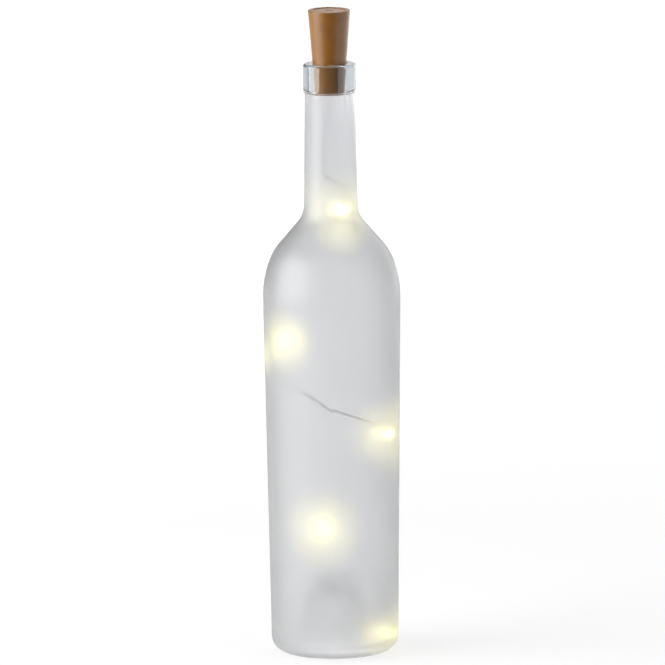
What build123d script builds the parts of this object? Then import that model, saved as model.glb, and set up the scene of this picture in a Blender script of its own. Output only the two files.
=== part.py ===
from build123d import *
import math
import os

# A frosted wine bottle with a cork-shaped light in its mouth and a string of five LEDs inside.
# Millimetres, +Z up, origin at the middle of the ring that the bottle stands on.
# The bottle is seen from -Y with +X to the right.

# Bottle, outer outline: radii from the axis and heights from the table
bottle_height = 329.0
base_radius = 35.0
body_top_radius = 38.1
body_top_height = 206.6
shoulder_radius = 33.2
shoulder_height = 223.4
neck_foot_radius = 14.95
neck_foot_height = 244.5
neck_top_radius = 13.75
heel_bend = 10.5
body_bend = 55.8
shoulder_bend = 34.8
neck_bend = 14.8

# Bottle, lip and mouth
lip_radius = 14.75
lip_length = 16.0
lip_top_round = 1.8
lip_foot_round = 0.9
lip_root_round = 0.6
mouth_radius = 9.5
mouth_length = 20.0
mouth_edge_round = 1.0
mouth_root_bend = 40.0

# Bottle, punt and walls
punt_height = 36.0
punt_mouth_radius = 21.0
punt_crown_radius = 9.5
punt_crown_bend = 12.0
punt_foot_round = 2.0
punt_wall = 4.5
floor_wall = 5.0
body_wall = 3.0
neck_wall = 4.0
valley_bend = 2.5

# Cork-shaped light: outer shell
cork_above = 29.6
cork_inside = 16.0
cork_top_radius = 11.65
cork_foot_radius = 8.1
cork_top_round = 0.5
cork_foot_round = 0.4
shell_bore_radius = 6.75
shell_floor = 2.4
thumb_notch_radius = 2.4
thumb_notch_depth = 1.2

# Cork-shaped light: top cap
cap_radius = 8.6
cap_thickness = 3.0
cap_inset = 0.3
cap_edge_round = 0.3
cap_clearance = 0.12

# Battery tray
tray_clearance = 0.15
tray_base_thickness = 1.5
bulkhead_thickness = 1.2
cradle_mouth_depth = 1.5
cell_clearance = 0.1
groove_width = 2.7
groove_depth = 0.4

# Button cells
cell_count = 3
cell_radius = 5.8
cell_height = 5.4
cell_lid_radius = 4.7
cell_lid_height = 0.5
cell_edge_round = 0.3

# Contacts
contact_thickness = 0.25
contact_width = 2.4
contact_plate_radius = 4.0
contact_foot_length = 4.2
contact_play = 0.1
bow_half_span = 2.6
bow_rise = 2.0
top_bow_half_span = 3.6
top_bow_rise = 1.8

# Circuit board, slide switch and resistor
board_thickness = 0.8
board_clearance = 0.1
switch_length = 8.6
switch_width = 3.8
switch_height = 3.5
switch_wall = 0.5
switch_travel = 2.0
slider_length = 3.4
slider_height = 1.1
knob_length = 1.8
knob_width = 1.6
knob_recess = 0.4
slot_clearance = 0.2
pin_radius = 0.3
pin_length = 2.2
pin_pitch = 2.5
resistor_length = 3.2
resistor_width = 1.6
resistor_height = 0.6

# Wire exit
exit_hole_radius = 1.5
exit_bead_radius = 2.3
exit_bead_length = 0.6

# Light string
wire_radius = 0.3
bend_share = 0.45
drop_length = 4.0
drop_radius = 1.15
drop_end_radius = 0.5
chip_length = 1.6
chip_width = 0.8
chip_height = 0.6

# Extra length of a cut past the face that it opens
overrun = 1.0

# Largest share of a run that a rounded corner of an outline may take
round_share = 0.49

# Heights that the sizes above give
cork_foot = bottle_height - cork_inside
cork_top = bottle_height + cork_above
lead_board_base = cork_foot + shell_floor
lead_board_top = lead_board_base + board_thickness
tray_foot = lead_board_top + bow_rise + contact_play + contact_thickness
tray_base_top = tray_foot + tray_base_thickness
cells_foot = tray_base_top + contact_thickness
cells_top = cells_foot + cell_count * cell_height
bulkhead_foot = cells_top + top_bow_rise
bulkhead_top = bulkhead_foot + bulkhead_thickness
cap_top = cork_top - cap_inset
cap_foot = cap_top - cap_thickness
board_top = cap_foot - switch_height
board_foot = board_top - board_thickness
wire_exit = cork_foot - exit_bead_length
tray_radius = shell_bore_radius - tray_clearance
cradle_bore_radius = cell_radius + cell_clearance
strip_back = tray_radius - board_clearance
strip_front = strip_back - contact_thickness

# Route of the light string, from the cork down to the last LED, chosen to follow the photograph
string_route = [
    (0, 0, wire_exit),
    (0, 0, 304.0),
    (-1.6, 2.0, 294.0),
    (-3.4, 1.6, 283.5),
    (-5.0, -3.6, 274.5),
    (-3.6, -9.0, 267.4),
    (2.6, -9.5, 264.4),
    (7.9, -6.4, 261.0),
    (8.1, -4.2, 254.7),
    (1.9, -9.8, 241.7),
    (0.5, -5.5, 233.8),
    (-5.5, 3.0, 223.5),
    (-13.5, 10.0, 212.0),
    (-21.5, 13.5, 200.5),
    (-27.0, 13.0, 190.0),
    (-27.0, 10.2, 181.5),
    (-29.4, 1.8, 164.1),
    (-28.4, -11.0, 155.5),
    (-20.5, -21.0, 150.8),
    (-11.5, -28.8, 147.4),
    (-2.5, -33.2, 143.3),
    (8.0, -32.3, 139.6),
    (17.6, -27.4, 135.0),
    (26.9, -18.0, 128.4),
    (32.9, -6.6, 118.8),
    (32.4, 3.6, 112.6),
    (27.5, 16.5, 104.0),
    (18.0, 25.5, 94.5),
    (5.5, 26.0, 86.0),
    (-5.0, 8.0, 72.0),
    (-8.0, -8.0, 66.2),
    (-17.0, -9.0, 58.0),
    (-18.0, 4.0, 53.0),
    (-7.0, 13.0, 50.0),
    (9.0, 13.0, 44.0),
    (21.0, 8.0, 36.0),
    (28.2, -1.2, 24.0),
    (29.4, -3.7, 12.0),
]

# Runs of the route that carry an LED at their middle, each counted by its first point.
# The last LED sits past the route's end.
led_runs = [8, 15, 23, 29]


def turn_between(before, corner, after):
    """Angle in degrees by which a path turns at a corner."""
    return (Vector(*corner) - Vector(*before)).get_angle(Vector(*after) - Vector(*corner))


def bend_room(before, corner, after, share):
    """Radius whose tangent points lie this share of the shorter run away from the corner."""
    shorter = min(
        (Vector(*corner) - Vector(*before)).length,
        (Vector(*after) - Vector(*corner)).length,
    )
    half_turn = math.radians(turn_between(before, corner, after)) / 2
    return share * shorter / math.tan(half_turn)


def bent_path(points, bends):
    """Open path through corners, each rounded to its bend or to what its runs allow."""
    corners = zip(points[:-2], points[1:-1], points[2:])
    radii = [
        min(bend, bend_room(*corner, round_share)) if bend else 0
        for corner, bend in zip(corners, bends)
    ]
    return FilletPolyline(*points, radius=radii)


def turned(corners, bends):
    """Solid of revolution about Z, from the corners (radius, height) of half its outline."""
    outline = bent_path([(radius, 0, height) for radius, height in corners], bends)
    closing = Line(outline @ 1, outline @ 0)
    return revolve(make_face([outline, closing]), Axis.Z)


def inset_corner(before, corner, after, wall_before, wall_after):
    """Where two stretches of an outline meet once each is moved inwards by its wall.

    The outline is followed upwards, so the inside lies to the left of each stretch.
    """
    first = Vector(corner[0] - before[0], corner[1] - before[1]).normalized()
    second = Vector(after[0] - corner[0], after[1] - corner[1]).normalized()
    first_shift = Vector(-first.Y, first.X) * wall_before
    second_shift = Vector(-second.Y, second.X) * wall_after
    gap = second_shift - first_shift
    turn = first.X * second.Y - first.Y * second.X
    along = (gap.X * second.Y - gap.Y * second.X) / turn
    moved = Vector(*corner) + first_shift + first * along
    return (moved.X, moved.Y)


def glass_bottle():
    """Blown bottle with a deep punt, a sloping shoulder and a plain band lip."""
    crown = (punt_crown_radius, punt_height)
    foot = (punt_mouth_radius, 0)
    heel = (base_radius, 0)
    body_top = (body_top_radius, body_top_height)
    shoulder = (shoulder_radius, shoulder_height)
    neck_foot = (neck_foot_radius, neck_foot_height)
    neck_top = (neck_top_radius, bottle_height - lip_length)

    # The punt's inner side runs parallel to its outer side, a wall further out
    punt_slope = math.atan2(punt_height, punt_mouth_radius - punt_crown_radius)
    inner_foot_radius = punt_mouth_radius + punt_wall / math.sin(punt_slope)
    valley = (inner_foot_radius - floor_wall / math.tan(punt_slope), floor_wall)
    inner_crown_height = punt_height + punt_wall
    inner_crown = (
        inner_foot_radius - inner_crown_height / math.tan(punt_slope),
        inner_crown_height,
    )

    inner_heel = inset_corner((0, 0), heel, body_top, floor_wall, body_wall)
    inner_body_top = inset_corner(heel, body_top, shoulder, body_wall, body_wall)
    inner_shoulder = inset_corner(body_top, shoulder, neck_foot, body_wall, body_wall)
    inner_neck_foot = inset_corner(shoulder, neck_foot, neck_top, body_wall, neck_wall)

    outline = [
        ((0, punt_height), 0),
        (crown, punt_crown_bend),
        (foot, punt_foot_round),
        (heel, heel_bend),
        (body_top, body_bend),
        (shoulder, shoulder_bend),
        (neck_foot, neck_bend),
        (neck_top, lip_root_round),
        ((lip_radius, bottle_height - lip_length), lip_foot_round),
        ((lip_radius, bottle_height), lip_top_round),
        ((mouth_radius, bottle_height), mouth_edge_round),
        ((mouth_radius, bottle_height - mouth_length), mouth_root_bend),
        (inner_neck_foot, neck_bend + body_wall),
        (inner_shoulder, shoulder_bend - body_wall),
        (inner_body_top, body_bend - body_wall),
        (inner_heel, heel_bend - body_wall),
        (valley, valley_bend),
        (inner_crown, punt_crown_bend + punt_wall),
        ((0, inner_crown_height), 0),
    ]
    corners = [corner for corner, bend in outline]
    bends = [bend for corner, bend in outline[1:-1]]
    return turned(corners, bends)


def disc(radius, foot, height):
    """Plain upright disc on the axis."""
    return Pos(0, 0, foot + height / 2) * Cylinder(radius, height)


def block(length, width, foot, height, x=0, y=0):
    """Plain upright block, centred at x, y."""
    return Pos(x, y, foot + height / 2) * Box(length, width, height)


def cork_shell():
    """Tapered cork-coloured sleeve, closed at its foot but for the wire's hole."""
    body = turned(
        [(0, cork_foot), (cork_foot_radius, cork_foot), (cork_top_radius, cork_top), (0, cork_top)],
        [cork_foot_round, cork_top_round],
    )
    bore = disc(shell_bore_radius, lead_board_base, cork_top - lead_board_base + overrun)
    cap_seat = disc(cap_radius + cap_clearance, cap_foot, cork_top - cap_foot + overrun)
    exit_hole = disc(exit_hole_radius, cork_foot - overrun, shell_floor + 2 * overrun)
    notch_centre = Pos(0, cap_radius + thumb_notch_depth - thumb_notch_radius, 0)
    notch = notch_centre * disc(thumb_notch_radius, cap_foot, cork_top - cap_foot + overrun)
    return body - bore - cap_seat - exit_hole - notch


def wire_grommet():
    """Bead of glue and its plug, where the light string leaves the shell."""
    plug = disc(exit_hole_radius, cork_foot, shell_floor)
    bead = disc(exit_bead_radius, wire_exit, exit_bead_length)
    return plug + bead - disc(wire_radius, wire_exit - overrun, lead_board_base - wire_exit + 2 * overrun)


def lead_in_wire():
    """End of the light string's wire, inside the grommet and up to the board."""
    return disc(wire_radius, wire_exit, lead_board_base - wire_exit)


def contact_board():
    """Round board on the shell's floor that the string is soldered to."""
    return disc(shell_bore_radius - board_clearance, lead_board_base, board_thickness)


def bow(half_span, rise, width, foot):
    """Sprung strip, bowed upwards along X: two arcs one strip's thickness apart."""
    outer = ThreePointArc((-half_span, 0, foot), (0, 0, foot + rise), (half_span, 0, foot))
    inner_span = half_span - contact_thickness
    inner_rise = foot + rise - contact_thickness
    inner = ThreePointArc((inner_span, 0, foot), (0, 0, inner_rise), (-inner_span, 0, foot))
    ends = [Line(outer @ 1, inner @ 0), Line(inner @ 1, outer @ 0)]
    return extrude(make_face([outer, inner] + ends), amount=width / 2, both=True)


def contact_springs():
    """Two sprung strips on the contact board, one under each foot of the tray's contacts."""
    across = strip_back - contact_foot_length / 2
    strip = bow(bow_half_span, bow_rise, contact_width, lead_board_top)
    return Compound([Pos(0, side * across, 0) * strip for side in (-1, 1)])


def battery_tray():
    """Round bar with two bays open towards -Y, a base, a bulkhead and grooves for contacts."""
    tray = disc(tray_radius, tray_foot, board_foot - tray_foot)
    opening = tray_radius - cradle_mouth_depth + overrun
    for foot, top in ((tray_base_top, bulkhead_foot), (bulkhead_top, board_foot)):
        tray -= disc(cradle_bore_radius, foot, top - foot)
        tray -= block(
            2 * (tray_radius + overrun),
            opening,
            foot,
            top - foot,
            y=-cradle_mouth_depth - opening / 2,
        )
    for side, top in ((-1, tray_base_top), (1, board_foot)):
        tray -= block(
            groove_width,
            groove_depth + overrun,
            tray_foot - overrun,
            top - tray_foot + 2 * overrun,
            y=side * (tray_radius + (overrun - groove_depth) / 2),
        )
    return tray


def lower_contact():
    """Plate under the cells, with a leg down the tray's front and a foot under its base."""
    foot_height = tray_foot - contact_thickness
    plate = disc(contact_plate_radius, tray_base_top, contact_thickness)
    tongue = block(
        contact_width,
        strip_back,
        tray_base_top,
        contact_thickness,
        y=-strip_back / 2,
    )
    leg = block(
        contact_width,
        contact_thickness,
        foot_height,
        cells_foot - foot_height,
        y=-strip_front - contact_thickness / 2,
    )
    foot = block(
        contact_width,
        contact_foot_length,
        foot_height,
        contact_thickness,
        y=contact_foot_length / 2 - strip_back,
    )
    return plate + tongue + leg + foot


def contact_strip():
    """Strip up the tray's back groove from its foot under the base to the circuit board."""
    foot_height = tray_foot - contact_thickness
    strip = block(
        contact_width,
        contact_thickness,
        foot_height,
        board_foot - foot_height,
        y=strip_front + contact_thickness / 2,
    )
    foot = block(
        contact_width,
        contact_foot_length,
        foot_height,
        contact_thickness,
        y=strip_back - contact_foot_length / 2,
    )
    return strip + foot


def upper_contact():
    """Sprung strip that presses the cells down from the bulkhead."""
    flat = bow(top_bow_half_span, top_bow_rise, contact_width, 0)
    return Pos(0, 0, bulkhead_foot) * Rot(180, 0, 0) * flat


def button_cell(number):
    """Alkaline button cell: a can with a smaller lid on its underside."""
    foot = cells_foot + number * cell_height
    return turned(
        [
            (0, foot),
            (cell_lid_radius, foot),
            (cell_lid_radius, foot + cell_lid_height),
            (cell_radius, foot + cell_lid_height),
            (cell_radius, foot + cell_height),
            (0, foot + cell_height),
        ],
        [cell_edge_round / 2, 0, cell_edge_round, cell_edge_round],
    )


def circuit_board():
    """Round board that closes the tray's top and carries the switch."""
    board = disc(tray_radius - board_clearance, board_foot, board_thickness)
    return board - pins(pin_radius, board_foot - overrun, board_thickness + 2 * overrun)


def pins(radius, foot, height):
    """Three upright rods in the switch's pin positions."""
    rod = disc(radius, foot, height)
    return Compound([Pos(step * pin_pitch, 0, 0) * rod for step in (-1, 0, 1)])


def switch_pins():
    """Three pins from inside the switch's can through the board."""
    return pins(pin_radius, board_top - pin_length, pin_length)


def switch_can():
    """Folded steel can of the slide switch, with room for the slider's travel."""
    can = block(switch_length, switch_width, board_top, switch_height)
    room = block(
        slider_length + switch_travel + 2 * slot_clearance,
        switch_width - 2 * switch_wall,
        cap_foot - switch_wall - slider_height - slot_clearance,
        slider_height + slot_clearance,
    )
    window = block(
        knob_length + switch_travel + 2 * slot_clearance,
        knob_width + 2 * slot_clearance,
        cap_foot - switch_wall - overrun,
        switch_wall + 2 * overrun,
    )
    return can - room - window


def switch_knob():
    """Slider and its knob, at rest at the -X end of the travel, switched on."""
    middle = -switch_travel / 2
    slider_foot = cap_foot - switch_wall - slider_height
    slider = block(
        slider_length,
        switch_width - 2 * switch_wall - 2 * slot_clearance,
        slider_foot,
        slider_height - slot_clearance,
        x=middle,
    )
    stem = block(
        knob_length,
        knob_width,
        slider_foot,
        cap_top - knob_recess - slider_foot,
        x=middle,
    )
    return slider + stem


def series_resistor():
    """Flat resistor under the circuit board, clear of the switch's pins."""
    across = resistor_width / 2 + pin_radius + pin_pitch / 2
    return block(
        resistor_length,
        resistor_width,
        board_foot - resistor_height,
        resistor_height,
        y=across,
    )


def top_cap():
    """Disc set in the shell's top, with a skirt down to the board and a slot for the knob."""
    cap = turned(
        [(0, cap_foot), (cap_radius, cap_foot), (cap_radius, cap_top), (0, cap_top)],
        [0, cap_edge_round],
    )
    skirt = disc(tray_radius, board_top, switch_height)
    skirt -= disc(cradle_bore_radius, board_top, switch_height)
    slot = block(
        knob_length + switch_travel + 2 * slot_clearance,
        knob_width + 2 * slot_clearance,
        cap_foot - overrun,
        cap_thickness + 2 * overrun,
    )
    return cap + skirt - slot


def led_seats():
    """Middle and direction of each LED along the string."""
    seats = []
    for run in led_runs:
        start, end = Vector(*string_route[run]), Vector(*string_route[run + 1])
        seats.append(((start + end) / 2, (end - start).normalized()))
    end = Vector(*string_route[-1])
    direction = (end - Vector(*string_route[-2])).normalized()
    seats.append((end + direction * drop_length / 2, direction))
    return seats


def string_stretches():
    """Points of the wire's stretches: from the cork to the first LED, then LED to LED."""
    seats = iter(led_seats())
    stretches = []
    points = []
    for index, point in enumerate(string_route):
        points.append(Vector(*point))
        if index in led_runs:
            middle, direction = next(seats)
            points.append(middle - direction * drop_length / 2)
            stretches.append(points)
            points = [middle + direction * drop_length / 2]
    stretches.append(points)
    return stretches


def led_wire(points):
    """Round tube along one stretch: straight runs joined by tangent arcs."""
    corners = list(zip(points[:-2], points[1:-1], points[2:]))
    radii = [bend_room(*corner, bend_share) for corner in corners]
    path = FilletPolyline(*points, radius=radii)
    section = Plane(origin=path @ 0, z_dir=path % 0) * Circle(wire_radius)
    wire = sweep(section, path=path)
    expected = section.area * path.length
    print("bend radii", [round(radius, 1) for radius in radii])
    print("length", round(path.length, 1), "volume share", round(wire.volume / expected, 4))
    return wire


def led_chip():
    """LED chip, lying along the wire."""
    return Box(chip_height, chip_width, chip_length)


def led_drop():
    """Drop of clear resin round a chip, with a flat end where each wire enters."""
    half = drop_length / 2
    side = ThreePointArc((drop_end_radius, 0, -half), (drop_radius, 0, 0), (drop_end_radius, 0, half))
    rest = Polyline(side @ 1, (0, 0, half), (0, 0, -half), side @ 0)
    return revolve(make_face([side, rest]), Axis.Z) - led_chip()


sub_parts = {
    "glass_bottle": glass_bottle(),
    "cork_shell": cork_shell(),
    "wire_grommet": wire_grommet(),
    "lead_in_wire": lead_in_wire(),
    "contact_board": contact_board(),
    "contact_springs": contact_springs(),
    "battery_tray": battery_tray(),
    "lower_contact": lower_contact(),
    "contact_strip": contact_strip(),
    "upper_contact": upper_contact(),
    "circuit_board": circuit_board(),
    "series_resistor": series_resistor(),
    "switch_can": switch_can(),
    "switch_pins": switch_pins(),
    "switch_knob": switch_knob(),
    "top_cap": top_cap(),
}
for number in range(cell_count):
    sub_parts[f"button_cell_{number + 1}"] = button_cell(number)
for number, (middle, direction) in enumerate(led_seats(), 1):
    seat = Plane(origin=middle, z_dir=direction)
    sub_parts[f"led_drop_{number}"] = seat * led_drop()
    sub_parts[f"led_chip_{number}"] = seat * led_chip()
for number, points in enumerate(string_stretches(), 1):
    sub_parts[f"led_wire_{number}"] = led_wire(points)

os.makedirs("parts", exist_ok=True)
for node, shape in sub_parts.items():
    export_step(shape, f"parts/{node}.step")
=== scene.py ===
import math

import bmesh
import bpy
import numpy as np
from mathutils import Matrix, Vector


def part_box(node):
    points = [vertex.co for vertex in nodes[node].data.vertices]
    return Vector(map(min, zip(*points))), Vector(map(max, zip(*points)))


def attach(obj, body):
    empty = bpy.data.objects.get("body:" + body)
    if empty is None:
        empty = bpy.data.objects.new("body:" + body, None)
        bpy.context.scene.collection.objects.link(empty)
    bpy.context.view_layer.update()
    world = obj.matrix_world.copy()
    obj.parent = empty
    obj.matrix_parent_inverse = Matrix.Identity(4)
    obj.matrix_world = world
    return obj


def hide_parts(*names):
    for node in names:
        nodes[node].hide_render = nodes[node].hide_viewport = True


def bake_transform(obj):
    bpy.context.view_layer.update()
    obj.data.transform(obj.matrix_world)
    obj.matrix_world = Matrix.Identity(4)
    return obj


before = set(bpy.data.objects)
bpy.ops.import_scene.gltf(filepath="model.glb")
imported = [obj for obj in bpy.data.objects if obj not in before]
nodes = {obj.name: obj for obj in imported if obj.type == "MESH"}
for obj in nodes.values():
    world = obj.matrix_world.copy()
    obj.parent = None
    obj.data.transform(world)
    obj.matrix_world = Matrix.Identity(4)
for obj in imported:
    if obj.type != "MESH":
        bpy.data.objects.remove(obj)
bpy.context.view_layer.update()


# Glass bottle
# One blown piece of clear soda glass with a deep punt, a sloping shoulder and a plain band lip.
# Below the lip its outside is etched matt. The lip was masked and stays clear, and the inside is smooth.
mm = 0.001

# Radius, height and bend of each corner in millimetres, from the punt's crown up to the mouth's edge
outside_corners = np.array(
    [
        (0, 36, 0),
        (9.5, 36, 12),
        (21, 0, 2),
        (35, 0, 10.5),
        (38.1, 206.6, 55.8),
        (33.2, 223.4, 34.8),
        (14.95, 244.5, 14.8),
        (13.75, 313, 0.6),
        (14.75, 313, 0.9),
        (14.75, 329, 1.8),
        (9.5, 329, 1.0),
    ]
)
# The same for the inside, from the mouth down to the top of the punt
inside_corners = np.array(
    [
        (9.5, 309, 40),
        (10.949, 244.54, 17.8),
        (30.503, 221.932, 31.8),
        (35.094, 206.193, 52.8),
        (32.075, 5, 7.5),
        (24.127, 5, 2.5),
        (12.787, 40.5, 16.5),
        (0, 40.5, 0),
    ]
)
lip_foot = 313 * mm
outline_arc_steps = 22
outline_run_steps = 7
# Largest share of the run beside a corner that its rounding takes up
round_share = 0.65
bottle_facets = 176
merge_distance = 1e-7


def rounded_outline(corners, arc_steps, run_steps):
    """Outline through rows of radius, height and bend, with each inner corner rounded to its bend.

    An arc starts its bend times the tangent of half the turn before the corner, or at the largest share of
    the run beside it. It is the conic with the corner as its middle control point, and with the cosine of
    half the turn as that point's weight. Straight runs get points too.
    """
    places, bends = corners[:, :2], corners[1:-1, 2:]
    back, ahead = places[:-2] - places[1:-1], places[2:] - places[1:-1]
    back_run = np.linalg.norm(back, axis=1, keepdims=True)
    ahead_run = np.linalg.norm(ahead, axis=1, keepdims=True)
    back, ahead = back / back_run, ahead / ahead_run
    half_turn = (math.pi - np.arccos((back * ahead).sum(axis=1, keepdims=True))) / 2
    reach = np.minimum(bends * np.tan(half_turn), round_share * np.minimum(back_run, ahead_run))
    first = (places[1:-1] + back * reach)[:, None]
    middle = places[1:-1][:, None]
    last = (places[1:-1] + ahead * reach)[:, None]
    weight = np.cos(half_turn)[:, None]
    t = np.linspace(0, 1, arc_steps)[None, :, None]
    shares = (1 - t) ** 2, 2 * weight * t * (1 - t), t**2
    arcs = (shares[0] * first + shares[1] * middle + shares[2] * last) / sum(shares)
    starts = np.concatenate([places[:1], arcs[:, -1]])[:, None]
    ends = np.concatenate([arcs[:, 0], places[-1:]])[:, None]
    s = np.linspace(0, 1, run_steps + 2)[None, 1:-1, None]
    runs = starts * (1 - s) + ends * s
    body = np.concatenate([runs[:-1], arcs], axis=1).reshape(-1, 2)
    return np.concatenate([places[:1], body, runs[-1], places[-1:]])


def grid_faces(rows, columns):
    """Four-sided faces over a grid of points whose last column joins its first."""
    index = np.arange(rows * columns).reshape(rows, columns)
    index = np.concatenate([index, index[:, :1]], axis=1)
    corners = [index[:-1, :-1], index[:-1, 1:], index[1:, 1:], index[1:, :-1]]
    return np.stack(corners, axis=2).reshape(-1, 4)


def surface_object(name, grid, materials, row_materials=None):
    """Object that spans a grid of points in metres, closed round its columns, with its poles merged."""
    rows, columns = grid.shape[:2]
    mesh = bpy.data.meshes.new(name)
    mesh.from_pydata(grid.reshape(-1, 3).tolist(), [], grid_faces(rows, columns).tolist())
    for material in materials:
        mesh.materials.append(material)
    if row_materials is not None:
        mesh.polygons.foreach_set("material_index", np.repeat(row_materials, columns))
    mesh.polygons.foreach_set("use_smooth", np.ones(len(mesh.polygons), bool))
    merged = bmesh.new()
    merged.from_mesh(mesh)
    bmesh.ops.remove_doubles(merged, verts=merged.verts, dist=merge_distance)
    merged.to_mesh(mesh)
    merged.free()
    piece = bpy.data.objects.new(name, mesh)
    bpy.context.scene.collection.objects.link(piece)
    return piece


def turned_grid(outline, facets):
    """Grid of an outline turned round the axis: radius times cosine, radius times sine, and height."""
    angle = np.linspace(0, 2 * math.pi, facets, endpoint=False)
    radius, height = outline[:, :1], outline[:, 1:]
    return np.stack([radius * np.cos(angle), radius * np.sin(angle), height + 0 * angle], axis=2)


def new_material(name):
    """Material with an empty node tree, and its output node."""
    material = bpy.data.materials.new(name)
    material.use_nodes = True
    material.node_tree.nodes.clear()
    return material, material.node_tree.nodes.new("ShaderNodeOutputMaterial")


def add(material, kind, settings=None, **inputs):
    """New node of a kind with its settings, and its inputs as values or as sockets to link from."""
    node = material.node_tree.nodes.new("ShaderNode" + kind)
    for key, value in (settings or {}).items():
        setattr(node, key, value)
    for key, value in inputs.items():
        by_number = key[0] == "i" and key[1:].isdigit()
        socket = node.inputs[int(key[1:]) if by_number else key.replace("_", " ")]
        if isinstance(value, bpy.types.NodeSocket):
            material.node_tree.links.new(value, socket)
        else:
            socket.default_value = value
    return node


def let_light_through(material, surface):
    """Shader of glass that the light of lamps and LEDs goes straight through."""
    straight = add(material, "LightPath").outputs["Is Shadow Ray"]
    clear = add(material, "BsdfTransparent", Color=(1, 1, 1, 1))
    return add(material, "MixShader", i0=straight, i1=surface, i2=clear.outputs[0]).outputs[0]


# Where the etching is thinner, how far that reaches, and the share of its roughness that is left there
thin_place = Vector((3.5, -37, 140)) * mm
thin_reach = 11 * mm
thin_share = 0.75


def etched_glass():
    """Outside of the bottle: matt, faintly grained glass with a satin sheen, and painted shade that greys
    it towards its edges.

    The etching is thinner on a small spot in front, where the wire behind it shows sharp.
    """
    material, output = new_material("etched_glass")
    place = add(material, "TexCoord").outputs["Object"]
    grain = add(material, "TexNoise", Vector=place, Scale=900.0, Detail=4.0)
    mottle = add(material, "TexNoise", Vector=place, Scale=45.0, Detail=3.0)
    matt = add(
        material,
        "MapRange",
        Value=mottle.outputs[0],
        From_Min=0.3,
        From_Max=0.7,
        To_Min=0.52,
        To_Max=0.58,
    )
    away = add(
        material, "VectorMath", {"operation": "DISTANCE"}, i0=place, i1=tuple(thin_place)
    )
    depth = add(
        material,
        "MapRange",
        {"interpolation_type": "SMOOTHSTEP"},
        Value=away.outputs["Value"],
        From_Min=0.0,
        From_Max=thin_reach,
        To_Min=thin_share,
        To_Max=1.0,
    )
    rough = add(
        material, "Math", {"operation": "MULTIPLY"}, i0=matt.outputs[0], i1=depth.outputs[0]
    )
    # Painted shade: the glass's colour greys towards the edges, where the surface turns away from view
    edge = add(material, "LayerWeight", Blend=0.32).outputs["Facing"]
    colour = add(
        material,
        "Mix",
        {"data_type": "RGBA"},
        Factor=edge,
        i6=(0.865, 0.872, 0.90, 1),
        i7=(0.60, 0.61, 0.62, 1),
    )
    bump = add(material, "Bump", Strength=0.06, Distance=0.0001, Height=grain.outputs[0])
    surface = add(
        material,
        "BsdfPrincipled",
        Base_Color=colour.outputs[2],
        Roughness=rough.outputs[0],
        IOR=1.5,
        Transmission_Weight=0.95,
        Specular_Tint=(0.4, 0.4, 0.4, 1),
        Coat_Weight=0.4,
        Coat_Roughness=0.32,
        Normal=bump.outputs[0],
    )
    material.node_tree.links.new(surface.outputs[0], output.inputs["Surface"])
    return material


def blown_glass(name, colour, roughness, lets_light_through, haze):
    """Glass with the slight ripple of blowing. Below the lip a haze spreads the light behind it."""
    material, output = new_material(name)
    place = add(material, "TexCoord").outputs["Object"]
    ripple = add(material, "TexNoise", Vector=place, Scale=30.0, Detail=1.0)
    bump = add(material, "Bump", Strength=0.012, Distance=0.001, Height=ripple.outputs[0])
    surface = add(
        material,
        "BsdfPrincipled",
        Base_Color=(*colour, 1),
        Roughness=roughness,
        IOR=1.5,
        Transmission_Weight=1.0,
        Normal=bump.outputs[0],
    )
    shader = surface.outputs[0]
    if haze:
        onward = add(material, "BsdfTranslucent", Color=(0.95, 0.95, 0.95, 1))
        back = add(material, "BsdfDiffuse", Color=(0.95, 0.95, 0.95, 1))
        spread = add(material, "MixShader", i0=0.35, i1=onward.outputs[0], i2=back.outputs[0])
        height = add(material, "SeparateXYZ", Vector=place).outputs["Z"]
        below_lip = add(
            material,
            "MapRange",
            Value=height,
            From_Min=lip_foot - 1 * mm,
            From_Max=lip_foot + 1 * mm,
            To_Min=haze,
            To_Max=0.0,
        )
        hazy = add(material, "MixShader", i0=below_lip.outputs[0], i1=shader, i2=spread.outputs[0])
        shader = hazy.outputs[0]
    if lets_light_through:
        shader = let_light_through(material, shader)
    material.node_tree.links.new(shader, output.inputs["Surface"])
    return material


outside = rounded_outline(
    np.concatenate([outside_corners, inside_corners[:1]]), outline_arc_steps, outline_run_steps
)
inside = rounded_outline(
    np.concatenate([outside_corners[-1:], inside_corners]), outline_arc_steps, outline_run_steps
)
outside = outside[: -outline_run_steps - 1]
inside = inside[1:]
bottle_outline = np.concatenate([outside, inside]) * mm
# Rows of faces that have each finish, from the punt's crown up the outside and down the inside
outer_height = outside[:, 1]
punt_rows = int(np.argmax(outer_height < 1.0))
frosted_rows = int(np.argmax(outer_height > lip_foot / mm - 0.1)) - punt_rows
lip_rows = len(outside) - 1 - punt_rows - frosted_rows
inner_rows = int(np.argmin(inside[:, 1] > inside_corners[5, 1] + 1.0)) + 1
crown_rows = len(bottle_outline) - len(outside) - inner_rows
bottle_finishes = [
    blown_glass("punt_glass", (1, 1, 1), 0.35, False, 0.0),
    etched_glass(),
    # The lip glass's dark grey tint is painted shade: it darkens the cork and all else seen through the
    # clear lip
    blown_glass("lip_glass", (0.38, 0.405, 0.425), 0.02, True, 0.0),
    blown_glass("inner_glass", (0.97, 0.975, 0.98), 0.03, True, 0.3),
    blown_glass("crown_glass", (1, 1, 1), 0.03, True, 0.0),
]
bottle = surface_object(
    "bottle_glass",
    turned_grid(bottle_outline, bottle_facets),
    bottle_finishes,
    np.repeat([0, 1, 2, 3, 4], [punt_rows, frosted_rows, lip_rows, inner_rows, crown_rows]),
)
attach(bottle, "bottle")
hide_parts("glass_bottle")


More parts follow.
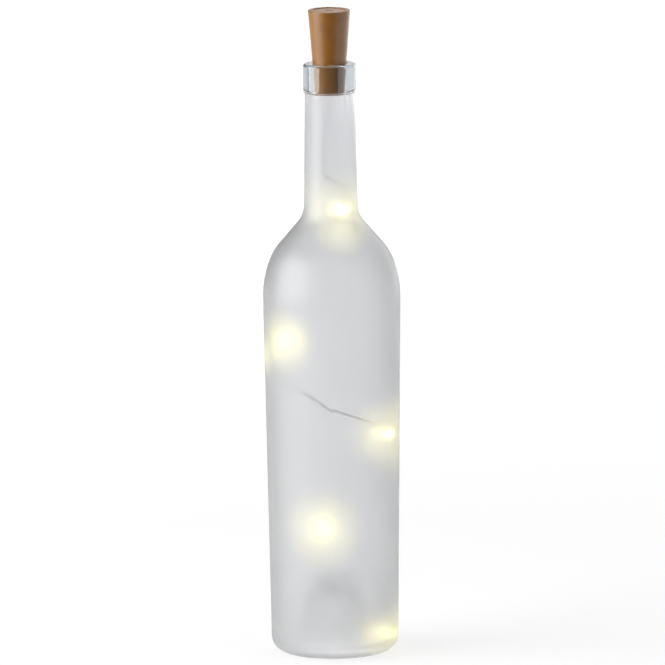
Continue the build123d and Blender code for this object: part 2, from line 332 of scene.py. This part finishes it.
# Light string's wire
# Two thin enamelled copper wires, bonded side by side and slightly twisted, in five stretches.
# They hang from the cork and lie in loose loops along the glass, down to the last LED at the heel.
string_route = [
    (0, 0, 0.3124),
    (0, 0, 0.304),
    (-0.0016, 0.002, 0.294),
    (-0.0034, 0.0016, 0.2835),
    (-0.005, -0.0036, 0.2745),
    (-0.0036, -0.009, 0.2674),
    (0.0026, -0.0095, 0.2644),
    (0.0079, -0.0064, 0.261),
    (0.0081, -0.0042, 0.2547),
    (0.0019, -0.0098, 0.2417),
    (0.0005, -0.0055, 0.2338),
    (-0.0055, 0.003, 0.2235),
    (-0.0135, 0.01, 0.212),
    (-0.0215, 0.0135, 0.2005),
    (-0.027, 0.013, 0.19),
    (-0.027, 0.0102, 0.1815),
    (-0.0294, 0.0018, 0.1641),
    (-0.0284, -0.011, 0.1555),
    (-0.0205, -0.021, 0.1508),
    (-0.0112, -0.0318, 0.1478),
    (-0.0048, -0.03336, 0.1434),
    (-0.00115, -0.03368, 0.1396),
    (0.0016, -0.03366, 0.1411),
    (0.0053, -0.03328, 0.1388),
    (0.0126, -0.03126, 0.1363),
    (0.0197, -0.0273, 0.1329),
    (0.0269, -0.018, 0.1284),
    (0.0329, -0.0066, 0.1188),
    (0.0324, 0.0036, 0.1126),
    (0.0275, 0.0165, 0.104),
    (0.018, 0.0255, 0.0945),
    (0.0055, 0.026, 0.086),
    (-0.005, 0.008, 0.072),
    (-0.008, -0.008, 0.0662),
    (-0.017, -0.009, 0.058),
    (-0.018, 0.004, 0.053),
    (-0.007, 0.013, 0.05),
    (0.009, 0.013, 0.044),
    (0.021, 0.008, 0.036),
    (0.0282, -0.0012, 0.024),
    (0.0294, -0.0037, 0.012),
]
# Runs of the route that carry an LED at their middle; the fifth LED sits past the route's end
led_runs = [8, 15, 26, 32]
# Width, thickness and twist length of the wire, its facets, ring spacing, half an LED's length, and
# directions to try
wire_width = 0.6 * mm
wire_thickness = 0.3 * mm
wire_twist = 14 * mm
wire_facets = 14
ring_spacing = 0.45 * mm
led_half = 2 * mm
direction_count = 200


def line_through(route):
    """Points along an open quadratic NURBS line that has the route's points as its control points."""
    curve = bpy.data.curves.new("string_line", "CURVE")
    curve.dimensions = "3D"
    curve.resolution_u = 24
    spline = curve.splines.new("NURBS")
    spline.points.add(len(route) - 1)
    spline.points.foreach_set("co", np.c_[np.array(route), np.ones(len(route))].ravel())
    spline.order_u = 3
    spline.use_endpoint_u = True
    holder = bpy.data.objects.new("string_line", curve)
    mesh = bpy.data.meshes.new_from_object(holder)
    line = np.zeros(len(mesh.vertices) * 3)
    mesh.vertices.foreach_get("co", line)
    bpy.data.meshes.remove(mesh)
    bpy.data.objects.remove(holder)
    bpy.data.curves.remove(curve)
    return line.reshape(-1, 3)


def between(line, along, start, end):
    """Part of a line between two distances along it, with points a ring's spacing apart."""
    at = np.linspace(start, end, math.ceil((end - start) / ring_spacing) + 1)
    return np.stack([np.interp(at, along, line[:, axis]) for axis in range(3)], axis=1)


def twin_wire_grid(path):
    """Grid of a twisted pair's outline carried along a path, drawn in to a point at both ends.

    The outline's radius is the mean of half the width and half the thickness, plus half their difference
    times the cosine of twice the angle. It turns once in each twist length. Across the path it is set out
    from the fixed direction that stays furthest from all the path's tangents.
    """
    tangent = np.gradient(path, axis=0)
    tangent /= np.linalg.norm(tangent, axis=1, keepdims=True)
    turn = np.arange(direction_count) * math.pi * (3 - math.sqrt(5))
    level = np.linspace(0, 1, direction_count)
    flat = np.sqrt(1 - level**2)
    directions = np.stack([flat * np.cos(turn), flat * np.sin(turn), level], axis=1)
    clearest = directions[np.abs(tangent @ directions.T).max(axis=0).argmin()]
    side = np.cross(tangent, clearest)
    side /= np.linalg.norm(side, axis=1, keepdims=True)
    other = np.cross(tangent, side)
    travelled = np.concatenate([[0], np.cumsum(np.linalg.norm(np.diff(path, axis=0), axis=1))])
    angle = np.linspace(0, 2 * math.pi, wire_facets, endpoint=False)
    radius = (wire_width + wire_thickness) / 4 + (wire_width - wire_thickness) / 4 * np.cos(2 * angle)
    turned = angle[None] + (2 * math.pi * travelled / wire_twist)[:, None]
    across = side[:, None] * np.cos(turned)[..., None] + other[:, None] * np.sin(turned)[..., None]
    tube = path[:, None] + across * radius[None, :, None]
    tip = np.broadcast_to(path[:1, None], tube[:1].shape)
    tail = np.broadcast_to(path[-1:, None], tube[:1].shape)
    return np.concatenate([tip, tube, tail])


def enamelled_copper():
    """Copper seen through clear enamel, darker where the enamel has pooled."""
    material, output = new_material("enamelled_copper")
    place = add(material, "TexCoord").outputs["Object"]
    pooled = add(material, "TexNoise", Vector=place, Scale=400.0, Detail=2.0)
    colour = add(
        material,
        "Mix",
        {"data_type": "RGBA"},
        Factor=pooled.outputs[0],
        i6=(0.30, 0.20, 0.13, 1),
        i7=(0.12, 0.075, 0.05, 1),
    )
    surface = add(
        material,
        "BsdfPrincipled",
        Base_Color=colour.outputs[2],
        Metallic=0.7,
        Roughness=0.35,
        Coat_Weight=0.6,
        Coat_Roughness=0.12,
    )
    material.node_tree.links.new(surface.outputs[0], output.inputs["Surface"])
    return material


string_line = line_through(string_route)
string_along = np.concatenate([[0], np.cumsum(np.linalg.norm(np.diff(string_line, axis=0), axis=1))])
route_points = np.array(string_route)
led_middles = (route_points[led_runs] + route_points[np.array(led_runs) + 1]) / 2
nearest = np.linalg.norm(string_line[:, None] - led_middles[None], axis=2).argmin(axis=0)
led_places = string_along[nearest]
stretch_starts = [0, *(led_places + led_half)]
stretch_ends = [*(led_places - led_half), string_along[-1]]
copper = enamelled_copper()
for number, (start, end) in enumerate(zip(stretch_starts, stretch_ends), 1):
    path = between(string_line, string_along, start, end)
    stretch = surface_object(f"wire_stretch_{number}", twin_wire_grid(path), [copper])
    if number == 1:
        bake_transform(stretch)
    else:
        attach(stretch, "bottle")
    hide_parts(f"led_wire_{number}")


# LED drops and chips
# Each chip is soldered across the two wires and sealed in a drop of clear resin. The CAD nodes stay.
# Lit, the whole drop glows warm white.
lit_colour = (1.0, 0.93, 0.42)
# Emission of each drop, from the highest LED down, and of every chip
drop_glows = [13.0, 7.5, 7.0, 7.0, 4.5]
chip_glow = 12.0


def lit_resin(number, drop_glow):
    """Clear resin with the chip's light in it, uneven as cured resin is."""
    material, output = new_material(f"lit_resin_{number}")
    place = add(material, "TexCoord").outputs["Object"]
    uneven = add(material, "TexNoise", Vector=place, Scale=600.0, Detail=2.0)
    glow = add(
        material, "MapRange", Value=uneven.outputs[0], To_Min=0.8 * drop_glow, To_Max=1.2 * drop_glow
    )
    surface = add(
        material,
        "BsdfPrincipled",
        Base_Color=(1.0, 0.95, 0.8, 1),
        Roughness=0.15,
        IOR=1.5,
        Transmission_Weight=0.8,
        Emission_Color=(*lit_colour, 1),
        Emission_Strength=glow.outputs[0],
    )
    material.node_tree.links.new(surface.outputs[0], output.inputs["Surface"])
    return material


def lit_phosphor():
    """Yellow phosphor over the chip, lit."""
    material, output = new_material("lit_phosphor")
    place = add(material, "TexCoord").outputs["Object"]
    grain = add(material, "TexNoise", Vector=place, Scale=3000.0, Detail=2.0)
    colour = add(
        material,
        "Mix",
        {"data_type": "RGBA"},
        Factor=grain.outputs[0],
        i6=(0.95, 0.75, 0.2, 1),
        i7=(0.9, 0.65, 0.12, 1),
    )
    surface = add(
        material,
        "BsdfPrincipled",
        Base_Color=colour.outputs[2],
        Roughness=0.6,
        Emission_Color=(*lit_colour, 1),
        Emission_Strength=chip_glow,
    )
    material.node_tree.links.new(surface.outputs[0], output.inputs["Surface"])
    return material


def box_middle(name):
    """Middle of a node's box."""
    low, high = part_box(name)
    return (Vector(low) + Vector(high)) / 2


def paint_glow_on_frost(material, spots):
    """Paints glow on the frost round and in front of LEDs, standing in for light the etched skin spreads,
    falling to nothing at each spot's reach.
    """
    surface = next(node for node in material.node_tree.nodes if node.type == "BSDF_PRINCIPLED")
    place = add(material, "TexCoord").outputs["Object"]
    total = 0.0
    for spot_place, reach, strength in spots:
        away = add(
            material, "VectorMath", {"operation": "DISTANCE"}, i0=place, i1=tuple(spot_place)
        )
        near = add(
            material,
            "MapRange",
            {"interpolation_type": "SMOOTHSTEP"},
            Value=away.outputs["Value"],
            From_Min=0.0,
            From_Max=reach * mm,
            To_Min=strength,
            To_Max=0.0,
        )
        total = add(material, "Math", {"operation": "ADD"}, i0=near.outputs[0], i1=total).outputs[0]
    surface.inputs["Emission Color"].default_value = (*painted_glow_colour, 1)
    material.node_tree.links.new(total, surface.inputs["Emission Strength"])
    material.cycles.emission_sampling = "NONE"


def finish_nodes(material, *names):
    """Gives CAD nodes their finish, through their objects' material slots."""
    for name in names:
        nodes[name].material_slots[0].material = material


led_numbers = range(1, 6)
# Colour of the painted glow on the frost
painted_glow_colour = (1.0, 0.93, 0.3)
# Spots of painted glow on the frost, round the LEDs and in front of them: middle, reach in millimetres and
# strength
painted_glow_spots = [
    (box_middle("led_drop_1"), 27, 0.2),
    (Vector((5, -20, 236)) * mm, 17, 0.2),
    (Vector((-28, -25, 178)) * mm, 24, 0.24),
    (Vector((-37.5, -4, 167)) * mm, 17, 0.28),
    (box_middle("led_drop_3"), 29, 0.22),
    (Vector((22, -29, 127)) * mm, 20, 0.17),
    (Vector((-7, -36, 74)) * mm, 27, 0.28),
    (box_middle("led_drop_5"), 27, 0.26),
    (Vector((24, -26, 13)) * mm, 18, 0.15),
]
# The etched glass gets painted glow, not light from the LEDs, at these spots
paint_glow_on_frost(bottle.data.materials["etched_glass"], painted_glow_spots)
for number, drop_glow in zip(led_numbers, drop_glows):
    finish_nodes(lit_resin(number, drop_glow), f"led_drop_{number}")
finish_nodes(lit_phosphor(), *[f"led_chip_{number}" for number in led_numbers])


# Cork-coloured shell
# An injection-moulded tapered sleeve in cork-brown plastic with a satin skin, closed at its foot.
def cork_plastic(name, light, dark, specular):
    """Satin moulded plastic in two close cork browns, with fine specks and a faint pebbled skin."""
    material, output = new_material(name)
    place = add(material, "TexCoord").outputs["Object"]
    cloud = add(material, "TexNoise", Vector=place, Scale=140.0, Detail=5.0, Roughness=0.6)
    speck = add(material, "TexNoise", Vector=place, Scale=1500.0, Detail=2.0)
    tone = add(
        material, "MapRange", Value=cloud.outputs[0], From_Min=0.35, From_Max=0.65
    )
    colour = add(
        material, "Mix", {"data_type": "RGBA"}, Factor=tone.outputs[0], i6=(*light, 1), i7=(*dark, 1)
    )
    rough = add(
        material,
        "MapRange",
        Value=cloud.outputs[0],
        From_Min=0.3,
        From_Max=0.7,
        To_Min=0.33,
        To_Max=0.4,
    )
    bump = add(material, "Bump", Strength=0.12, Distance=0.0001, Height=speck.outputs[0])
    surface = add(
        material,
        "BsdfPrincipled",
        Base_Color=colour.outputs[2],
        Roughness=rough.outputs[0],
        IOR=1.5,
        Specular_IOR_Level=specular,
        Normal=bump.outputs[0],
    )
    material.node_tree.links.new(surface.outputs[0], output.inputs["Surface"])
    return material


shell_plastic = cork_plastic("cork_plastic", (0.246, 0.098, 0.004), (0.202, 0.075, 0.003), 0.7)
finish_nodes(shell_plastic, "cork_shell")


# Top cap
# A disc of the same plastic, set in the shell's top, with the slot for the switch's knob.
finish_nodes(cork_plastic("cap_plastic", (0.33, 0.19, 0.10), (0.28, 0.155, 0.08), 0.5), "top_cap")


# Battery tray and switch knob
# Black moulded plastic, slightly glossy where the mould was polished.
def moulded_plastic(name, colour, grain_scale, rough_from, rough_to):
    """Plain moulded plastic: one colour that varies a little, with a fine spark-eroded grain."""
    material, output = new_material(name)
    place = add(material, "TexCoord").outputs["Object"]
    grain = add(material, "TexNoise", Vector=place, Scale=grain_scale, Detail=3.0)
    shade = add(
        material,
        "Mix",
        {"data_type": "RGBA"},
        Factor=grain.outputs[0],
        i6=(*colour, 1),
        i7=(*(0.8 * part for part in colour), 1),
    )
    rough = add(material, "MapRange", Value=grain.outputs[0], To_Min=rough_from, To_Max=rough_to)
    bump = add(material, "Bump", Strength=0.15, Distance=0.00005, Height=grain.outputs[0])
    surface = add(
        material,
        "BsdfPrincipled",
        Base_Color=shade.outputs[2],
        Roughness=rough.outputs[0],
        Normal=bump.outputs[0],
    )
    material.node_tree.links.new(surface.outputs[0], output.inputs["Surface"])
    return material


finish_nodes(moulded_plastic("tray_plastic", (0.035, 0.035, 0.037), 900.0, 0.35, 0.55), "battery_tray")
finish_nodes(moulded_plastic("knob_plastic", (0.02, 0.02, 0.021), 1400.0, 0.4, 0.6), "switch_knob")


# Wire exit
# A bead of clear hot-melt glue, slightly milky, plugs the hole in the shell's foot round the wire's end.
def hot_melt_glue():
    """Milky glue, smooth where it flowed."""
    material, output = new_material("hot_melt_glue")
    place = add(material, "TexCoord").outputs["Object"]
    flow = add(material, "TexNoise", Vector=place, Scale=500.0, Detail=2.0)
    rough = add(material, "MapRange", Value=flow.outputs[0], To_Min=0.15, To_Max=0.35)
    bump = add(material, "Bump", Strength=0.3, Distance=0.0002, Height=flow.outputs[0])
    surface = add(
        material,
        "BsdfPrincipled",
        Base_Color=(0.82, 0.8, 0.72, 1),
        Roughness=rough.outputs[0],
        Transmission_Weight=0.4,
        Normal=bump.outputs[0],
    )
    material.node_tree.links.new(surface.outputs[0], output.inputs["Surface"])
    return material


finish_nodes(hot_melt_glue(), "wire_grommet")
finish_nodes(copper, "lead_in_wire")


# Contact board and circuit board
# Round boards of glass-fibre laminate under green solder resist, cut from a panel.
def laminate_board():
    """Green resist over a fine glass weave, from two crossed sets of bands."""
    material, output = new_material("laminate_board")
    place = add(material, "TexCoord").outputs["Object"]
    warp = add(
        material, "TexWave", {"bands_direction": "X"}, Vector=place, Scale=700.0, Distortion=0.4
    )
    weft = add(
        material, "TexWave", {"bands_direction": "Y"}, Vector=place, Scale=700.0, Distortion=0.4
    )
    weave = add(
        material,
        "Math",
        {"operation": "MULTIPLY"},
        i0=warp.outputs["Fac"],
        i1=weft.outputs["Fac"],
    )
    colour = add(
        material,
        "Mix",
        {"data_type": "RGBA"},
        Factor=weave.outputs[0],
        i6=(0.02, 0.11, 0.045, 1),
        i7=(0.035, 0.16, 0.07, 1),
    )
    bump = add(material, "Bump", Strength=0.1, Distance=0.00003, Height=weave.outputs[0])
    surface = add(
        material,
        "BsdfPrincipled",
        Base_Color=colour.outputs[2],
        Roughness=0.35,
        Normal=bump.outputs[0],
    )
    material.node_tree.links.new(surface.outputs[0], output.inputs["Surface"])
    return material


finish_nodes(laminate_board(), "contact_board", "circuit_board")


# Contacts
# Springs, plates and the long strip are stamped from nickel-plated phosphor bronze and bent to shape.
def metal_finish(name, colour, stretch, rough_from, rough_to):
    """Bare metal with fine streaks drawn out along one direction."""
    material, output = new_material(name)
    place = add(material, "TexCoord").outputs["Object"]
    drawn = add(material, "Mapping", Vector=place, Scale=stretch)
    streak = add(material, "TexNoise", Vector=drawn.outputs[0], Scale=1.0, Detail=3.0)
    shade = add(
        material,
        "Mix",
        {"data_type": "RGBA"},
        Factor=streak.outputs[0],
        i6=(*colour, 1),
        i7=(*(0.82 * part for part in colour), 1),
    )
    rough = add(material, "MapRange", Value=streak.outputs[0], To_Min=rough_from, To_Max=rough_to)
    bump = add(material, "Bump", Strength=0.08, Distance=0.00003, Height=streak.outputs[0])
    surface = add(
        material,
        "BsdfPrincipled",
        Base_Color=shade.outputs[2],
        Metallic=1.0,
        Roughness=rough.outputs[0],
        Normal=bump.outputs[0],
    )
    material.node_tree.links.new(surface.outputs[0], output.inputs["Surface"])
    return material


plated_bronze = metal_finish("plated_bronze", (0.70, 0.66, 0.58), (3000, 600, 600), 0.2, 0.4)
finish_nodes(plated_bronze, "contact_springs", "lower_contact", "contact_strip", "upper_contact")


# Button cells
# Three alkaline cells in drawn nickel-plated steel cans, each can's flat top brushed by handling.
cell_steel = metal_finish("cell_steel", (0.72, 0.72, 0.70), (900, 900, 5200), 0.16, 0.34)
finish_nodes(cell_steel, "button_cell_1", "button_cell_2", "button_cell_3")


# Slide switch
# A folded tinned-steel can with three pins, soldered into the circuit board.
tinned_steel = metal_finish("tinned_steel", (0.62, 0.63, 0.64), (700, 3800, 3800), 0.25, 0.45)
finish_nodes(tinned_steel, "switch_can", "switch_pins")


# Series resistor
# A flat ceramic chip with a dark glassy top between two tinned ends.
glaze_half_length = 1.15 * mm


def resistor_body():
    """Dark glaze in the middle and tin at both ends, told apart by the distance along the body."""
    material, output = new_material("resistor_body")
    place = add(material, "TexCoord").outputs["Object"]
    along = add(material, "SeparateXYZ", Vector=place).outputs["X"]
    far = add(material, "Math", {"operation": "ABSOLUTE"}, i0=along)
    end = add(material, "Math", {"operation": "GREATER_THAN"}, i0=far.outputs[0], i1=glaze_half_length)
    grain = add(material, "TexNoise", Vector=place, Scale=2500.0, Detail=2.0)
    glaze = add(
        material,
        "Mix",
        {"data_type": "RGBA"},
        Factor=grain.outputs[0],
        i6=(0.02, 0.02, 0.022, 1),
        i7=(0.04, 0.04, 0.042, 1),
    )
    colour = add(
        material,
        "Mix",
        {"data_type": "RGBA"},
        Factor=end.outputs[0],
        i6=glaze.outputs[2],
        i7=(0.68, 0.68, 0.67, 1),
    )
    surface = add(
        material,
        "BsdfPrincipled",
        Base_Color=colour.outputs[2],
        Metallic=end.outputs[0],
        Roughness=0.3,
    )
    material.node_tree.links.new(surface.outputs[0], output.inputs["Surface"])
    return material


finish_nodes(resistor_body(), "series_resistor")


# Studio
# A pale floor, white to the camera but for the object's soft shadow, a large soft lamp on the left, weak
# ones on the right and behind, a top lamp, and a white surround that glass and gloss show too.
def white_share(tree_owner, place, front, back, left, right):
    """Share of full white that a ray sees: all for the camera, none after a matt surface.

    For gloss it rises from nothing at the front depth to the side's share at the back depth. For glass it
    starts from the front's share. The side's share grows from the left to the right.
    """
    rays = add(tree_owner, "LightPath").outputs
    parts = add(tree_owner, "SeparateXYZ", Vector=place).outputs
    side = add(
        tree_owner,
        "MapRange",
        Value=parts["X"],
        From_Min=left,
        From_Max=right,
        To_Min=left_share,
        To_Max=right_share,
    )
    depth = add(tree_owner, "MapRange", Value=parts["Y"], From_Min=front, From_Max=back)
    behind = add(
        tree_owner, "Math", {"operation": "MULTIPLY"}, i0=depth.outputs[0], i1=side.outputs[0]
    ).outputs[0]
    through = add(tree_owner, "MapRange", Value=behind, To_Min=front_share, To_Max=1.0).outputs[0]
    product = {"operation": "MULTIPLY"}
    largest = {"operation": "MAXIMUM"}
    gloss = add(tree_owner, "Math", product, i0=behind, i1=rays["Is Glossy Ray"]).outputs[0]
    glass = add(tree_owner, "Math", product, i0=through, i1=rays["Is Transmission Ray"]).outputs[0]
    both = add(tree_owner, "Math", largest, i0=gloss, i1=glass).outputs[0]
    seen = add(tree_owner, "Math", largest, i0=both, i1=rays["Is Camera Ray"]).outputs[0]
    first = add(tree_owner, "Math", {"operation": "LESS_THAN"}, i0=rays["Diffuse Depth"], i1=0.5)
    return add(tree_owner, "Math", product, i0=seen, i1=first.outputs[0]).outputs[0]


def pale_floor():
    """Floor that takes shadow and adds its own white to what the camera, glass and gloss see of it."""
    material, output = new_material("pale_floor")
    place = add(material, "TexCoord").outputs["Object"]
    seen = white_share(material, place, -1.0, -0.1, -3.0, 0.0)
    distance = add(material, "VectorMath", {"operation": "LENGTH"}, i0=place).outputs["Value"]
    own_white = add(
        material, "MapRange", Value=distance, From_Min=0.4, From_Max=1.8, To_Min=0.8, To_Max=1.0
    )
    strength = add(material, "Math", {"operation": "MULTIPLY"}, i0=seen, i1=own_white.outputs[0])
    lit = add(material, "BsdfDiffuse", Color=(0.2, 0.2, 0.2, 1))
    own = add(material, "Emission", Color=(1, 1, 1, 1), Strength=strength.outputs[0])
    both = add(material, "AddShader", i0=lit.outputs[0], i1=own.outputs[0])
    material.node_tree.links.new(both.outputs[0], output.inputs["Surface"])
    return material


front_share = 0.48
left_share = 0.05
right_share = 1.4
floor_radius = 6.0
floor_sides = 64
floor_mesh = bpy.data.meshes.new("floor")
floor_angle = np.linspace(0, 2 * math.pi, floor_sides, endpoint=False)
floor_circle = np.stack([np.cos(floor_angle), np.sin(floor_angle), 0 * floor_angle], axis=1)
floor_rim = floor_circle * floor_radius
floor_mesh.from_pydata(floor_rim.tolist(), [], [list(range(floor_sides))])
floor_mesh.materials.append(pale_floor())
floor = bpy.data.objects.new("floor", floor_mesh)
bpy.context.scene.collection.objects.link(floor)


def studio_surround():
    """World that is white to the camera and to glass and gloss behind the object, and dimmer elsewhere."""
    world = bpy.data.worlds.new("studio")
    world.use_nodes = True
    world.node_tree.nodes.clear()
    direction = add(world, "TexCoord").outputs["Generated"]
    seen = white_share(world, direction, -0.2, 0.3, -0.3, 0.1)
    strength = add(world, "MapRange", Value=seen, To_Min=0.06, To_Max=1.0)
    background = add(world, "Background", Color=(1, 1, 1, 1), Strength=strength.outputs[0])
    output = add(world, "OutputWorld")
    world.node_tree.links.new(background.outputs[0], output.inputs["Surface"])
    return world


def soft_lamp(name, place, target, width, height, brightness):
    """Rectangular lamp, so many times as bright as white, hidden from the camera and from glass."""
    light = bpy.data.lights.new(name, "AREA")
    light.shape = "RECTANGLE"
    light.size = width
    light.size_y = height
    light.energy = brightness * math.pi * width * height
    lamp = bpy.data.objects.new(name, light)
    lamp.location = place
    lamp.rotation_euler = (Vector(target) - Vector(place)).to_track_quat("-Z", "Y").to_euler()
    lamp.visible_camera = False
    lamp.visible_transmission = False
    bpy.context.scene.collection.objects.link(lamp)


bpy.context.scene.world = studio_surround()
middle_height = 0.18
soft_lamp("left_lamp", (-1.529, -0.472, 0.6), (0, 0, middle_height), 1.8, 1.6, 6.9)
soft_lamp("right_lamp", (1.31, -0.918, 0.6), (0, 0, middle_height), 1.2, 1.4, 2.1)
soft_lamp("back_lamp", (1.0, 1.3, 0.6), (0, 0, middle_height), 0.9, 1.4, 1.0)
soft_lamp("top_lamp", (0, 0.3, 2.0), (0, 0, middle_height), 1.4, 1.4, 2.2)


# Camera
# It stands 8 m away, a little above the object, and is rolled by half a degree as the photograph is.
camera_distance = 8.0
camera_height_angle = math.radians(9.7)
camera_roll = math.radians(0.57)
aim = Vector((0.0002, 0, 0.1784))
image_pixels = 665
pixels_per_metre = 1810
sensor_width = 36.0
towards = Vector((0, -math.cos(camera_height_angle), math.sin(camera_height_angle)))
level_right = Vector((1, 0, 0))
level_up = towards.cross(level_right)
camera_up = level_up * math.cos(camera_roll) + level_right * math.sin(camera_roll)
camera_right = camera_up.cross(towards)
camera_data = bpy.data.cameras.new("camera")
camera_data.sensor_width = sensor_width
camera_data.lens = camera_distance * sensor_width * pixels_per_metre / image_pixels
camera_data.clip_start = 0.1
camera_data.clip_end = 100
camera = bpy.data.objects.new("camera", camera_data)
placing = Matrix((camera_right, camera_up, towards)).transposed().to_4x4()
placing.translation = aim + towards * camera_distance
camera.matrix_world = placing
bpy.context.scene.collection.objects.link(camera)
bpy.context.scene.camera = camera
bpy.context.scene.view_settings.view_transform = "Standard"
